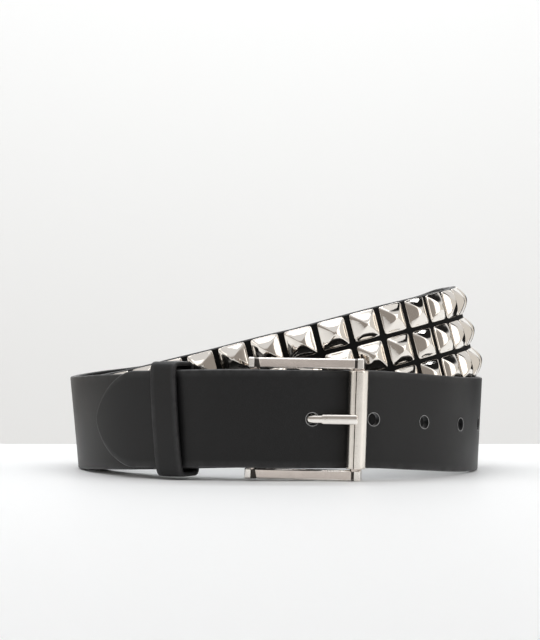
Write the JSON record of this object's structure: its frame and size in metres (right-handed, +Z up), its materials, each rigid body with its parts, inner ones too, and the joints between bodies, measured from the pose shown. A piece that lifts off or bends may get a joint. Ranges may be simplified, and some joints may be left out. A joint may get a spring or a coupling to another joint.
{
  "type": "studded leather belt, buckled and coiled in two turns",
  "caption": "Black leather belt covered in rows of metal pyramid studs, with a rectangular roller buckle, buckled and coiled upright.",
  "frame": {"origin": "middle of the belt's box, on the surface that it stands on", "axes": "+Z up across the strap's width, -Y toward the buckle at the front, +X to the right seen from the buckle"},
  "size_m": [0.1722, 0.1748, 0.076],
  "materials": {
    "strap_leather": "smooth matte",
    "keeper_leather": "smooth matte",
    "stud_metal": "polished",
    "buckle_metal": "polished"
  },
  "bodies": {
    "root": {"strap": "strap_leather", "studs": "stud_metal", "buckle_frame": "buckle_metal", "buckle_roller": "buckle_metal", "buckle_prong": "buckle_metal", "keeper": "keeper_leather"}
  },
  "joints": []
}
